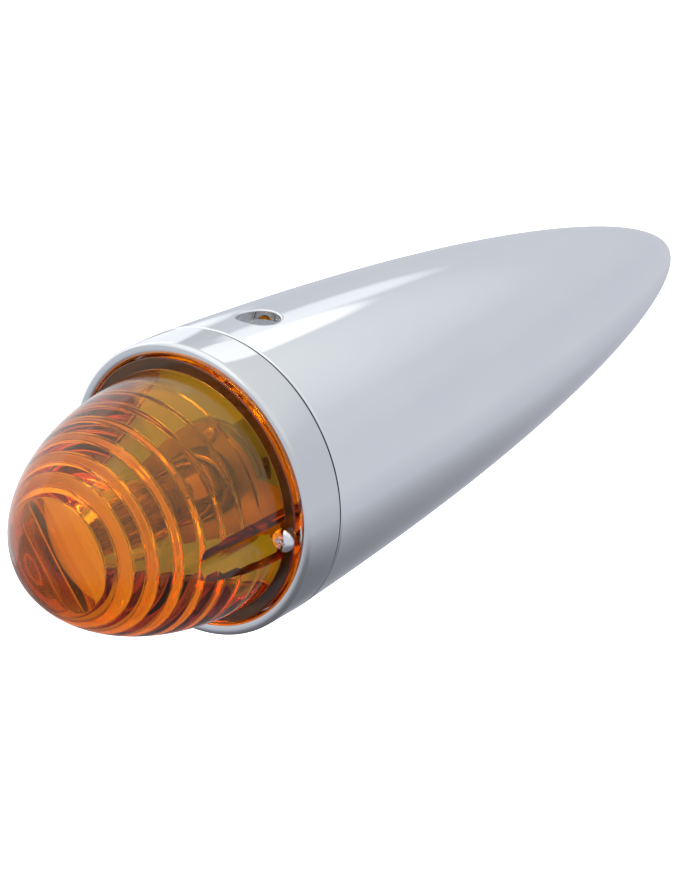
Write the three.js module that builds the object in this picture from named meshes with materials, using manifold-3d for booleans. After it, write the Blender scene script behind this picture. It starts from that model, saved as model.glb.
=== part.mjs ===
// Bullet turn signal for a motorcycle, in millimetres.
// The lamp axis lies along Y: the lens points to -Y and the tapered tail to +Y.
// The origin is the centre of the stem hole, on top of the housing, and +Z points out of that hole.
// Inside the group "lamp" a place along the axis is written s: 0 at the seam behind the bezel,
// negative towards the lens, positive towards the tail.

import * as THREE from 'three';
import { mergeVertices } from 'three/addons/utils/BufferGeometryUtils.js';
import Module from 'manifold-3d';

const wasm = await Module();
wasm.setup();

// ---------- driving dimensions ----------

const BODY_RADIUS = 34;
const TAIL_LENGTH = 185.6;
const WALL = 2;
const TAIL_WALL = 7.6; // thickness at the very tip, along the axis
const SEAM_GAP = 0.25; // half of the joint line between bezel and housing
const FIT = 0.05; // gap between pieces that are pressed together

// The housing narrows as
// radius = (BODY_RADIUS - CONE_SLOPE * s) * (1 - (s / TAIL_LENGTH) ^ NOSE_P) ^ NOSE_Q.
const CONE_SLOPE = 0.0538;
const NOSE_P = 2.548;
const NOSE_Q = 0.536;

const STEM_HOLE_RADIUS = 5;
const STEM_HOLE_S = 13.9;
const NUT_SEAT_HALF = 9;
const NUT_SEAT_DROP = 2.9; // from the outer surface to the flat that the stem nut bears on
const NUT_SEAT_SINK = 1.6; // from the outer surface to the top of the seat block, inside the wall

const BEZEL_FRONT = -11.2;
const BEZEL_LIP_RADIUS = 31;
const BEZEL_EDGE_ROUND = 1.5;
const BEZEL_LIP_CHAMFER = 0.4;
const LEDGE_FRONT = -7;
const LEDGE_BACK = -5;
const LEDGE_RADIUS = 25;

const FLANGE_FRONT = -11.6;
const FLANGE_BACK = -8.6;
const FLANGE_RADIUS = 30.7;
const DOME_RADIUS = 28.1;
const DOME_HEIGHT = 46.3;
const DOME_FOOT = -12;
const DOME_WALL = 2.8;
const DOME_ROWS = 12;
const DOME_SIDES = 40;
const STEP_DRAFT = 0.4; // rise of each inner step towards the next one
const STEP_HEIGHTS = [5, 10, 15, 20, 25, 30, 34.5, 38.8]; // tops of the inner steps, from the dome's foot
const CROWN_HEIGHT = 42.3; // top of the shallow cap inside the last step, from the dome's foot
const CROWN_ROWS = 4;

const SCREW_CIRCLE = 28.2;
const SCREW_TILT = THREE.MathUtils.degToRad(-6);
const SCREW_SHANK_RADIUS = 1.5;
const SCREW_HOLE_RADIUS = 1.85;
const SCREW_HEAD_RADIUS = 2.75;
const SCREW_HEAD_HEIGHT = 2.1;
const SCREW_HEAD_SIDE = 0.7; // straight part of the head, under its dome
const CROSS_WIDTH = 0.6;
const CROSS_SPAN = 2.8;
const CROSS_DEPTH = 1.2;
const SCREW_END = 9;
const SCREW_POCKET_RADIUS = 4.4;
const SCREW_POCKET_WALL = 2.4;
const POCKET_SIDES = 20;
const BOSS_RADIUS = 3.5;
const BOSS_TIP_RADIUS = 2.4;
const BOSS_FRONT = -2.9;
const BOSS_BACK = 16;

const STRAP_FRONT = -4.4;
const STRAP_BACK = -3.2;
const STRAP_HALF_WIDTH = 5.5;
const STRAP_TIP = 2.3; // strap beyond each screw's axis
const STRAP_RING_RADIUS = 14;
const STRAP_BORE_RADIUS = 9.2;
const RIVET_CIRCLE = 11.7;
const RIVET_RADIUS = 1;
const RIVET_HEAD_RADIUS = 1.8;
const RIVET_HEAD_HEIGHT = 0.9;
const RIVET_HOLE_RADIUS = 1.2;

const SHELL_BORE = 7.95;
const SHELL_RADIUS = 8.7;
const SHELL_FRONT = -6.5;
const SHELL_BACK = 23.4;
const SHELL_CRIMP = 0.7; // thickness of the edge rolled in behind the washer
const SLOT_HALF_WIDTH = 1.25;
const COLLAR_FRONT = -2.9;
const COLLAR_BACK = -1.7;

const BULB_BASE_RADIUS = 7.6;
const BULB_PIN_RADIUS = 1;
const BULB_PIN_TIP = 8.65;
const BULB_PINS = [1.6, 4.6]; // the two pins sit at two depths, so the bulb fits one way round
const BULB_GLASS_RADIUS = 13.25;
const BULB_GLASS_CENTRE = -28.75;
const GLASS_WALL = 0.8;

const PRESS_TRAVEL = 2;
const TWIST_DEGREES = 20;

const SLIDING_RADIUS = 7.65; // washer and carrier, free inside the shell
const CONTACT_OFFSET = 3.5;
const CONTACT_HOLE_RADIUS = 1.2;
const CARRIER_FRONT = 9.6;
const CARRIER_BACK = 12.6;
const SPRING_RADIUS = 5.8;
const SPRING_WIRE = 0.45;
const SPRING_TURNS = 4;
const WASHER_FRONT = 21;
const WASHER_BACK = 22.5;
const WASHER_BORE = 4.9;

const ROUND = 48; // sides of the large round pieces
const SOCKET_ROUND = 32;
const SMALL_ROUND = 16;

// ---------- materials ----------

function finish(color, roughness, metalness) {
  return () => new THREE.MeshStandardMaterial({ color, roughness, metalness });
}

const chrome = finish(0xd6d8de, 0.08, 1);
const amber = finish(0xe07a10, 0.1, 0);
const rubber = finish(0x202024, 0.8, 0);
const plated = finish(0xaeb0b4, 0.35, 1);
const brass = finish(0xc9a35a, 0.3, 1);
const springSteel = finish(0x8f9196, 0.35, 1);
const phenolic = finish(0x6b4a2f, 0.6, 0);
const vitrite = finish(0x18181c, 0.3, 0);
const solder = finish(0xb8bac0, 0.4, 1);
const clearGlass = finish(0xf2f4f6, 0.05, 0);
const tungsten = finish(0x6e6e74, 0.4, 1);

// ---------- shape helpers ----------

function taper(s) {
  return (BODY_RADIUS - CONE_SLOPE * s) * (1 - (s / TAIL_LENGTH) ** NOSE_P) ** NOSE_Q;
}

function domeRadius(height) {
  return DOME_RADIUS * Math.sqrt(1 - (height / DOME_HEIGHT) ** 2);
}

// Turns a list of [radius, s] points round the lamp axis, in the order that makes the faces point out.
function revolve(points, sides = ROUND) {
  const outline = points.map(([radius, s]) => new THREE.Vector2(radius, s));
  const ordered = THREE.ShapeUtils.area(outline) < 0 ? outline.reverse() : outline;
  return new THREE.LatheGeometry(ordered, sides);
}

// A straight bar along the lamp axis from s0 to s1, centred at x, z.
function rodAlong(radius, s0, s1, x = 0, z = 0, sides = SMALL_ROUND) {
  const rod = new THREE.CylinderGeometry(radius, radius, s1 - s0, sides);
  rod.translate(x, (s0 + s1) / 2, z);
  return rod;
}

// A straight bar between two points.
function rodBetween(from, to, radius, sides = 8) {
  const along = new THREE.Vector3().subVectors(to, from);
  const rod = new THREE.CylinderGeometry(radius, radius, along.length(), sides);
  const turn = new THREE.Quaternion().setFromUnitVectors(new THREE.Vector3(0, 1, 0), along.normalize());
  rod.applyQuaternion(turn);
  rod.translate((from.x + to.x) / 2, (from.y + to.y) / 2, (from.z + to.z) / 2);
  return rod;
}

// A round wire along a curve.
function wire(curve, radius, steps, sides) {
  const section = new THREE.Shape();
  for (let i = 0; i < sides; i += 1) {
    const angle = (2 * Math.PI * i) / sides;
    const x = radius * Math.cos(angle);
    const y = radius * Math.sin(angle);
    if (i === 0) {
      section.moveTo(x, y);
    } else {
      section.lineTo(x, y);
    }
  }
  section.closePath();
  return new THREE.ExtrudeGeometry(section, { steps, bevelEnabled: false, extrudePath: curve });
}

class Helix extends THREE.Curve {
  // axis is 'x' or 'y'
  constructor(radius, start, end, turns, axis, centre = new THREE.Vector3()) {
    super();
    Object.assign(this, { radius, start, end, turns, axis, centre });
  }

  getPoint(t, target = new THREE.Vector3()) {
    const angle = 2 * Math.PI * this.turns * t;
    const along = this.start + (this.end - this.start) * t;
    const a = this.radius * Math.cos(angle);
    const b = this.radius * Math.sin(angle);
    if (this.axis === 'x') {
      target.set(along, a, b);
    } else {
      target.set(a, along, b);
    }
    return target.add(this.centre);
  }
}

// ---------- joining and cutting ----------

function toSolid(geometry) {
  const bare = geometry.clone();
  bare.deleteAttribute('normal');
  bare.deleteAttribute('uv');
  const merged = mergeVertices(bare, 1e-5);
  return new wasm.Manifold(new wasm.Mesh({
    numProp: 3,
    vertProperties: new Float32Array(merged.attributes.position.array),
    triVerts: new Uint32Array(merged.index.array),
  }));
}

function toGeometry(solid) {
  const mesh = solid.getMesh();
  const geometry = new THREE.BufferGeometry();
  geometry.setAttribute('position', new THREE.BufferAttribute(mesh.vertProperties.slice(), 3));
  geometry.setIndex(new THREE.BufferAttribute(mesh.triVerts.slice(), 1));
  geometry.computeVertexNormals();
  return geometry;
}

function cut(solid, tools) {
  return tools.reduce((rest, tool) => rest.subtract(toSolid(tool)), solid);
}

function join(solid, pieces) {
  return pieces.reduce((sum, piece) => sum.add(toSolid(piece)), solid);
}

// ---------- places that several pieces share ----------

// The two screw centres, opposite each other and slightly tilted from the level.
const screwPlaces = [0, Math.PI].map((side) => ({
  x: SCREW_CIRCLE * Math.cos(SCREW_TILT + side),
  z: SCREW_CIRCLE * Math.sin(SCREW_TILT + side),
}));

// The two rivets sit on the strap's ring, square to its arms.
const rivetPlaces = [Math.PI / 2, -Math.PI / 2].map((side) => ({
  x: RIVET_CIRCLE * Math.cos(SCREW_TILT + side),
  z: RIVET_CIRCLE * Math.sin(SCREW_TILT + side),
}));

function screwRods(radius, s0, s1, sides = SMALL_ROUND) {
  return screwPlaces.map(({ x, z }) => rodAlong(radius, s0, s1, x, z, sides));
}

function rivetRods(radius, s0, s1) {
  return rivetPlaces.map(({ x, z }) => rodAlong(radius, s0, s1, x, z));
}

// ---------- the assembly ----------

const assembly = new THREE.Group();
assembly.name = 'turn_signal';
const lamp = new THREE.Group();
lamp.name = 'lamp';
lamp.position.set(0, -STEM_HOLE_S, -taper(STEM_HOLE_S));
assembly.add(lamp);

function place(name, geometry, material) {
  const mesh = new THREE.Mesh(geometry, material());
  mesh.name = name;
  lamp.add(mesh);
}

// ---------- housing and its front ring ----------

function makeHousing() {
  const outerStops = [14, 32, 50, 68, 86, 103, 119, 134, 147, 158, 168, 176, 181.5, 184.5];
  const innerStops = [176, 169, 157, 141, 121, 97, 70, 36];
  const inner = (s) => taper(s) - WALL;
  const profile = [[0, TAIL_LENGTH]];
  outerStops.slice().reverse().forEach((s) => profile.push([taper(s), s]));
  profile.push([BODY_RADIUS, SEAM_GAP]);
  profile.push([BODY_RADIUS - WALL, SEAM_GAP]);
  innerStops.slice().reverse().forEach((s) => profile.push([inner(s), s]));
  profile.push([0, TAIL_LENGTH - TAIL_WALL]);
  let shell = toSolid(revolve(profile));
  shell = join(shell, screwRods(BOSS_RADIUS, SEAM_GAP, BOSS_BACK));
  shell = join(shell, screwRods(BOSS_TIP_RADIUS, BOSS_FRONT, SEAM_GAP + 1));
  const seatTop = taper(STEM_HOLE_S) - NUT_SEAT_SINK;
  const seatFace = taper(STEM_HOLE_S) - NUT_SEAT_DROP;
  const seat = new THREE.BoxGeometry(2 * NUT_SEAT_HALF, 2 * NUT_SEAT_HALF, seatTop - seatFace);
  seat.translate(0, STEM_HOLE_S, (seatTop + seatFace) / 2);
  shell = join(shell, [seat]);
  const drillLength = 20;
  const stemHole = new THREE.CylinderGeometry(STEM_HOLE_RADIUS, STEM_HOLE_RADIUS, drillLength, 32);
  stemHole.rotateX(Math.PI / 2);
  stemHole.translate(0, STEM_HOLE_S, taper(STEM_HOLE_S));
  shell = cut(shell, [stemHole]);
  shell = cut(shell, screwRods(SCREW_HOLE_RADIUS, BOSS_FRONT - 1, BOSS_BACK - 4));
  return toGeometry(shell);
}

function makeBezel() {
  const outer = BODY_RADIUS;
  const edge = [];
  for (let i = 0; i <= 4; i += 1) {
    const angle = (Math.PI / 2) * (i / 4);
    edge.push([
      outer - BEZEL_EDGE_ROUND * (1 - Math.cos(angle)),
      BEZEL_FRONT + BEZEL_EDGE_ROUND * (1 - Math.sin(angle)),
    ]);
  }
  const profile = [
    [outer, -SEAM_GAP],
    [BEZEL_LIP_RADIUS, -SEAM_GAP],
    [BEZEL_LIP_RADIUS, LEDGE_BACK],
    [LEDGE_RADIUS, LEDGE_BACK],
    [LEDGE_RADIUS, LEDGE_FRONT],
    [BEZEL_LIP_RADIUS, LEDGE_FRONT],
    [BEZEL_LIP_RADIUS, BEZEL_FRONT + BEZEL_LIP_CHAMFER],
    [BEZEL_LIP_RADIUS + BEZEL_LIP_CHAMFER, BEZEL_FRONT],
    ...edge.reverse(),
    [outer, -SEAM_GAP],
  ];
  const ring = toSolid(revolve(profile));
  return toGeometry(cut(ring, screwRods(SCREW_HOLE_RADIUS, LEDGE_FRONT - 1, LEDGE_BACK + 1)));
}

function makeBezelGasket() {
  const inside = BEZEL_LIP_RADIUS + 0.3;
  const outside = BODY_RADIUS - 0.4;
  const half = SEAM_GAP - FIT;
  return revolve([
    [inside, -half],
    [outside, -half],
    [outside, half],
    [inside, half],
    [inside, -half],
  ]);
}

function makeLensGasket() {
  const front = FLANGE_BACK + FIT;
  const back = LEDGE_FRONT - FIT;
  const inside = LEDGE_RADIUS + 0.2;
  const outside = FLANGE_RADIUS - 0.1;
  const ring = toSolid(revolve([
    [inside, front],
    [outside, front],
    [outside, back],
    [inside, back],
    [inside, front],
  ], DOME_SIDES));
  return toGeometry(cut(ring, screwRods(SCREW_HOLE_RADIUS, front - 1, back + 1)));
}

place('housing', makeHousing(), chrome);
place('bezel', makeBezel(), chrome);
place('bezel_gasket', makeBezelGasket(), rubber);
place('lens_gasket', makeLensGasket(), rubber);

// ---------- lens: smooth half ellipse outside, stepped rings inside ----------

function makeLens() {
  const outer = [[0, DOME_FOOT - DOME_HEIGHT]];
  for (let i = 1; i <= DOME_ROWS; i += 1) {
    const angle = (Math.PI / 2) * (i / DOME_ROWS);
    outer.push([DOME_RADIUS * Math.sin(angle), DOME_FOOT - DOME_HEIGHT * Math.cos(angle)]);
  }
  outer.push([DOME_RADIUS, FLANGE_FRONT]);
  outer.push([FLANGE_RADIUS, FLANGE_FRONT]);
  outer.push([FLANGE_RADIUS, FLANGE_BACK]);
  outer.push([0, FLANGE_BACK]);
  const hollow = [[0, FLANGE_BACK + 1]];
  let radius = domeRadius(STEP_HEIGHTS[0]) - DOME_WALL;
  hollow.push([radius, FLANGE_BACK + 1]);
  STEP_HEIGHTS.forEach((height, i) => {
    hollow.push([radius, DOME_FOOT - height]);
    if (i + 1 < STEP_HEIGHTS.length) {
      radius = domeRadius(STEP_HEIGHTS[i + 1]) - DOME_WALL;
      hollow.push([radius, DOME_FOOT - height - STEP_DRAFT]);
    }
  });
  const crownFoot = STEP_HEIGHTS[STEP_HEIGHTS.length - 1];
  for (let i = CROWN_ROWS - 1; i >= 0; i -= 1) {
    const share = i / CROWN_ROWS;
    const rise = (CROWN_HEIGHT - crownFoot) * (1 - share ** 2);
    hollow.push([radius * share, DOME_FOOT - crownFoot - rise]);
  }
  const aheadOfDome = DOME_FOOT - DOME_HEIGHT - 1;
  const pocketWalls = screwRods(SCREW_POCKET_RADIUS + SCREW_POCKET_WALL, aheadOfDome, 0, POCKET_SIDES);
  const cavity = cut(toSolid(revolve(hollow, DOME_SIDES)), pocketWalls);
  let lens = toSolid(revolve(outer, DOME_SIDES)).subtract(cavity);
  lens = cut(lens, screwRods(SCREW_POCKET_RADIUS, aheadOfDome, FLANGE_FRONT, POCKET_SIDES));
  return toGeometry(cut(lens, screwRods(SCREW_HOLE_RADIUS, FLANGE_FRONT - 1, FLANGE_BACK + 2)));
}

place('lens', makeLens(), amber);

// ---------- lens screws: domed head with a cross recess ----------

function makeScrew({ x, z }) {
  const headBack = FLANGE_FRONT - FIT;
  const headFront = headBack - SCREW_HEAD_HEIGHT;
  const profile = [
    [0, SCREW_END],
    [SCREW_SHANK_RADIUS - 0.4, SCREW_END],
    [SCREW_SHANK_RADIUS, SCREW_END - 0.5],
    [SCREW_SHANK_RADIUS, headBack],
    [SCREW_HEAD_RADIUS, headBack],
    [SCREW_HEAD_RADIUS, headBack - SCREW_HEAD_SIDE],
  ];
  const rows = 5;
  for (let i = 1; i < rows; i += 1) {
    const angle = (Math.PI / 2) * (i / rows);
    const rise = (SCREW_HEAD_HEIGHT - SCREW_HEAD_SIDE) * Math.sin(angle);
    profile.push([SCREW_HEAD_RADIUS * Math.cos(angle), headBack - SCREW_HEAD_SIDE - rise]);
  }
  profile.push([0, headFront]);
  const body = toSolid(revolve(profile, SMALL_ROUND));
  const slotLong = new THREE.BoxGeometry(CROSS_SPAN, 2 * CROSS_DEPTH, CROSS_WIDTH);
  const slotShort = new THREE.BoxGeometry(CROSS_WIDTH, 2 * CROSS_DEPTH, CROSS_SPAN);
  [slotLong, slotShort].forEach((slot) => slot.translate(0, headFront, 0));
  const screw = toGeometry(cut(body, [slotLong, slotShort]));
  screw.translate(x, 0, z);
  return screw;
}

screwPlaces.forEach((spot, i) => place(`lens_screw_${i + 1}`, makeScrew(spot), chrome));

// ---------- socket strap, riveted to the socket shell ----------

function makeBracket() {
  const outline = new THREE.Shape();
  const armAngle = Math.asin(STRAP_HALF_WIDTH / STRAP_RING_RADIUS);
  const tip = SCREW_CIRCLE + STRAP_TIP;
  const tipHalf = 3;
  const neck = tip - 5;
  outline.moveTo(tip - 1, -tipHalf);
  outline.lineTo(tip, -tipHalf + 1);
  outline.lineTo(tip, tipHalf - 1);
  outline.lineTo(tip - 1, tipHalf);
  outline.lineTo(neck, STRAP_HALF_WIDTH);
  outline.absarc(0, 0, STRAP_RING_RADIUS, armAngle, Math.PI - armAngle, false);
  outline.lineTo(-neck, STRAP_HALF_WIDTH);
  outline.lineTo(-tip + 1, tipHalf);
  outline.lineTo(-tip, tipHalf - 1);
  outline.lineTo(-tip, -tipHalf + 1);
  outline.lineTo(-tip + 1, -tipHalf);
  outline.lineTo(-neck, -STRAP_HALF_WIDTH);
  outline.absarc(0, 0, STRAP_RING_RADIUS, Math.PI + armAngle, 2 * Math.PI - armAngle, false);
  outline.lineTo(neck, -STRAP_HALF_WIDTH);
  outline.closePath();
  const bore = new THREE.Path();
  bore.absarc(0, 0, STRAP_BORE_RADIUS, 0, 2 * Math.PI, true);
  outline.holes.push(bore);
  const plate = new THREE.ExtrudeGeometry(outline, {
    depth: STRAP_BACK - STRAP_FRONT,
    bevelEnabled: false,
    curveSegments: 20,
  });
  plate.rotateX(Math.PI / 2);
  plate.rotateY(-SCREW_TILT);
  plate.translate(0, STRAP_BACK, 0);
  let strap = cut(toSolid(plate), screwRods(SCREW_HOLE_RADIUS, STRAP_FRONT - 1, STRAP_BACK + 1));
  strap = cut(strap, rivetRods(RIVET_HOLE_RADIUS, STRAP_FRONT - 1, STRAP_BACK + 1));
  return toGeometry(strap);
}

function makeRivet({ x, z }) {
  const front = STRAP_FRONT - FIT;
  const back = COLLAR_BACK + FIT;
  const profile = [
    [0, front - RIVET_HEAD_HEIGHT],
    [1.1, front - 0.8 * RIVET_HEAD_HEIGHT],
    [RIVET_HEAD_RADIUS, front],
    [RIVET_RADIUS, front],
    [RIVET_RADIUS, back],
    [RIVET_HEAD_RADIUS - 0.2, back],
    [RIVET_HEAD_RADIUS - 0.4, back + 0.5],
    [0, back + 0.5],
  ];
  const rivet = revolve(profile, SMALL_ROUND);
  rivet.translate(x, 0, z);
  return rivet;
}

place('socket_bracket', makeBracket(), plated);
rivetPlaces.forEach((spot, i) => place(`bracket_rivet_${i + 1}`, makeRivet(spot), plated));

// ---------- bayonet socket ----------

// Each slot runs in from the mouth beside its pin, then widens into the window that the pin rests in.
function bayonetSlots() {
  const twist = THREE.MathUtils.degToRad(TWIST_DEGREES);
  const turns = 4;
  const tools = [];
  const cutter = (front, back, angle) => {
    const block = new THREE.BoxGeometry(2.6, back - front, 2 * SLOT_HALF_WIDTH);
    block.translate(SHELL_BORE + 0.2, (front + back) / 2, 0);
    block.rotateY(angle);
    return block;
  };
  BULB_PINS.forEach((pin, i) => {
    const front = pin - SLOT_HALF_WIDTH;
    const back = pin + PRESS_TRAVEL + SLOT_HALF_WIDTH;
    for (let turn = 0; turn <= turns; turn += 1) {
      tools.push(cutter(front, back, i * Math.PI - (turn * twist) / turns));
    }
    tools.push(cutter(SHELL_FRONT - 1, back, i * Math.PI - twist));
  });
  return tools;
}

function makeShell() {
  const crimpBore = SHELL_BORE - 1;
  const profile = [
    [SHELL_BORE, SHELL_FRONT],
    [SHELL_RADIUS, SHELL_FRONT],
    [SHELL_RADIUS, COLLAR_FRONT],
    [STRAP_RING_RADIUS, COLLAR_FRONT],
    [STRAP_RING_RADIUS, COLLAR_BACK],
    [SHELL_RADIUS, COLLAR_BACK],
    [SHELL_RADIUS, SHELL_BACK],
    [crimpBore, SHELL_BACK],
    [crimpBore, SHELL_BACK - SHELL_CRIMP],
    [SHELL_BORE, SHELL_BACK - SHELL_CRIMP],
    [SHELL_BORE, SHELL_FRONT],
  ];
  let shell = cut(toSolid(revolve(profile, SOCKET_ROUND)), bayonetSlots());
  shell = cut(shell, rivetRods(RIVET_HOLE_RADIUS, COLLAR_FRONT - 1, COLLAR_BACK + 1));
  return toGeometry(shell);
}

function makeWasher() {
  return revolve([
    [WASHER_BORE, WASHER_FRONT],
    [SLIDING_RADIUS, WASHER_FRONT],
    [SLIDING_RADIUS, WASHER_BACK],
    [WASHER_BORE, WASHER_BACK],
    [WASHER_BORE, WASHER_FRONT],
  ], SOCKET_ROUND);
}

function makeContactSpring() {
  const start = CARRIER_BACK + SPRING_WIRE + 0.1;
  const end = WASHER_FRONT - SPRING_WIRE - 0.1;
  const coil = new Helix(SPRING_RADIUS, start, end, SPRING_TURNS, 'y');
  return wire(coil, SPRING_WIRE, SPRING_TURNS * 12, 6);
}

function makeCarrier() {
  const disc = toSolid(revolve([
    [0, CARRIER_FRONT],
    [SLIDING_RADIUS, CARRIER_FRONT],
    [SLIDING_RADIUS, CARRIER_BACK],
    [0, CARRIER_BACK],
  ], SOCKET_ROUND));
  const holes = [-1, 1].map((side) => {
    const z = side * CONTACT_OFFSET;
    return rodAlong(CONTACT_HOLE_RADIUS, CARRIER_FRONT - 1, CARRIER_BACK + 1, 0, z);
  });
  return toGeometry(cut(disc, holes));
}

function makeContactPost(side) {
  const head = CARRIER_FRONT - 0.7;
  const tail = CARRIER_BACK + 4;
  const post = revolve([
    [0, head],
    [1.9, head],
    [2.1, head + 0.2],
    [2.1, CARRIER_FRONT - FIT],
    [0.9, CARRIER_FRONT - FIT],
    [0.9, CARRIER_BACK + 0.4],
    [1.3, CARRIER_BACK + 0.8],
    [1.3, tail],
    [0.8, tail],
    [0.8, tail - 2],
    [0, tail - 2],
  ], 12);
  post.translate(0, 0, side * CONTACT_OFFSET);
  return post;
}

place('socket_shell', makeShell(), plated);
place('socket_back', makeWasher(), phenolic);
place('contact_spring', makeContactSpring(), springSteel);
place('contact_carrier', makeCarrier(), phenolic);
place('contact_post_tail', makeContactPost(-1), brass);
place('contact_post_turn', makeContactPost(1), brass);

// ---------- two-filament bulb ----------

const BASE_FRONT = -8;
const BASE_BACK = 7;
const INSULATOR_BACK = 8.2;
const STEM_TOP = -14.5;
const FILAMENT_COIL_RADIUS = 0.75;
const FILAMENT_WIRE = 0.16;
const FILAMENT_TURNS = 6;
const SUPPORT_WIRE = 0.3;
const TURN_FILAMENT = { s: BULB_GLASS_CENTRE, half: 3, z: 1.4 };
const TAIL_FILAMENT = { s: BULB_GLASS_CENTRE + 4.5, half: 2.4, z: -1.4 };

function makeBulbBase() {
  const bore = BULB_BASE_RADIUS - 0.5;
  return revolve([
    [bore, BASE_FRONT],
    [BULB_BASE_RADIUS, BASE_FRONT],
    [BULB_BASE_RADIUS, BASE_BACK],
    [6, BASE_BACK],
    [6, BASE_BACK - 0.4],
    [bore, BASE_BACK - 0.4],
    [bore, BASE_FRONT],
  ], SOCKET_ROUND);
}

function makeInsulator() {
  return revolve([
    [0, BASE_BACK - 2],
    [6.8, BASE_BACK - 2],
    [6.8, BASE_BACK - 0.45],
    [5.8, BASE_BACK - 0.45],
    [5.8, INSULATOR_BACK - 0.4],
    [5.4, INSULATOR_BACK],
    [0, INSULATOR_BACK],
  ], SOCKET_ROUND);
}

function makeBulbContact(side) {
  const back = INSULATOR_BACK + FIT;
  const bump = revolve([
    [0, back],
    [1.8, back],
    [1.6, back + 0.3],
    [0.9, back + 0.55],
    [0, back + 0.6],
  ], 12);
  bump.translate(0, 0, side * CONTACT_OFFSET);
  return bump;
}

function makeBulbPin(index) {
  const foot = BULB_BASE_RADIUS + FIT;
  const pin = new THREE.CylinderGeometry(BULB_PIN_RADIUS, BULB_PIN_RADIUS, BULB_PIN_TIP - foot, SMALL_ROUND);
  pin.rotateZ(Math.PI / 2);
  pin.translate((BULB_PIN_TIP + foot) / 2, BULB_PINS[index], 0);
  pin.rotateY(index * Math.PI);
  return pin;
}

function glassOutline(inset) {
  const ball = BULB_GLASS_RADIUS - inset;
  const points = [[0, BULB_GLASS_CENTRE - ball]];
  for (let i = 1; i <= 8; i += 1) {
    const angle = THREE.MathUtils.degToRad(18 * i);
    points.push([ball * Math.sin(angle), BULB_GLASS_CENTRE - ball * Math.cos(angle)]);
  }
  points.push([7.2 - inset, -14.5]);
  points.push([6.8 - inset, -11.5]);
  points.push([6.8 - inset, 0]);
  return points;
}

function makeBulbGlass() {
  const outline = [...glassOutline(0), ...glassOutline(GLASS_WALL).reverse()];
  return revolve(outline, 28);
}

function makeStem() {
  return revolve([
    [0, STEM_TOP],
    [1.9, STEM_TOP + 0.4],
    [2.1, -8],
    [3.2, -4],
    [5.6, -1.5],
    [5.6, -1],
    [0, -1],
  ], 20);
}

function makeFilament({ s, half, z }) {
  const centre = new THREE.Vector3(0, s, z);
  const coil = new Helix(FILAMENT_COIL_RADIUS, -half, half, FILAMENT_TURNS, 'x', centre);
  return wire(coil, FILAMENT_WIRE, FILAMENT_TURNS * 7, 4);
}

function makeSupport({ s, half, z }, side) {
  const foot = new THREE.Vector3(side * 1.1, STEM_TOP - 0.1, z * 0.6);
  const top = new THREE.Vector3(side * (half + 0.6), s - 0.4, z);
  return rodBetween(foot, top, SUPPORT_WIRE);
}

place('bulb_base', makeBulbBase(), brass);
BULB_PINS.forEach((pin, i) => place(`bulb_pin_${i + 1}`, makeBulbPin(i), brass));
place('bulb_insulator', makeInsulator(), vitrite);
place('bulb_contact_tail', makeBulbContact(-1), solder);
place('bulb_contact_turn', makeBulbContact(1), solder);
place('bulb_glass', makeBulbGlass(), clearGlass);
place('bulb_stem', makeStem(), clearGlass);
place('filament_turn', makeFilament(TURN_FILAMENT), tungsten);
place('filament_tail', makeFilament(TAIL_FILAMENT), tungsten);
place('filament_support_1', makeSupport(TURN_FILAMENT, 1), tungsten);
place('filament_support_2', makeSupport(TURN_FILAMENT, -1), tungsten);
place('filament_support_3', makeSupport(TAIL_FILAMENT, 1), tungsten);
place('filament_support_4', makeSupport(TAIL_FILAMENT, -1), tungsten);

export default assembly;
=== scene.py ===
"""Looks for the bullet turn signal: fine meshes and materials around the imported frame."""

import math

import bmesh
import bpy
from mathutils import Matrix, Vector


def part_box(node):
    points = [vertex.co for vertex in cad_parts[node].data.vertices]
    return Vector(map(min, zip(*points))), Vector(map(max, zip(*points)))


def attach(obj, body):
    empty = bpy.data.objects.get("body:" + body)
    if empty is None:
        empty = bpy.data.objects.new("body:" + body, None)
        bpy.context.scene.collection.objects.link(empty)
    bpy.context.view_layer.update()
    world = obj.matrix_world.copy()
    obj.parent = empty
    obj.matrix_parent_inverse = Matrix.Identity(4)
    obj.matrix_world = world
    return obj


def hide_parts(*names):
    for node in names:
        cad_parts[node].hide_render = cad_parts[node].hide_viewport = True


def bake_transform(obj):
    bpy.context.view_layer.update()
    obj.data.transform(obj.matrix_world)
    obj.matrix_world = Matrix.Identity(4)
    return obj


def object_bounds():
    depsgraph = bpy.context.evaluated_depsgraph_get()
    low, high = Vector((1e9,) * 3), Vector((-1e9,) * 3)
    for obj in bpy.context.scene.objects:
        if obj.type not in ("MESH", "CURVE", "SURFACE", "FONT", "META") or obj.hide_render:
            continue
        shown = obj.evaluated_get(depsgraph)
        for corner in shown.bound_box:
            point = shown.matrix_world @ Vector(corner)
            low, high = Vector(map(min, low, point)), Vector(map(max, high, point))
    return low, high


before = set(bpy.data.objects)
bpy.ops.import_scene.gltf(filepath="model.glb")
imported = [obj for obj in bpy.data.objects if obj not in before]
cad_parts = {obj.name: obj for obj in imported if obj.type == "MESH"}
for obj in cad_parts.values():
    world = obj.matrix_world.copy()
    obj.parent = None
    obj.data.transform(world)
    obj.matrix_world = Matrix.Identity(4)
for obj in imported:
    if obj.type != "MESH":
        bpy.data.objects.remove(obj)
cad_low, cad_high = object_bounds()

# ---------- places and sizes, in millimetres along and around the lamp axis ----------
# s runs along the lamp axis: 0 at the seam behind the bezel, negative towards the lens.
# FIT is the gap left between neighbouring pieces.

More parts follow.
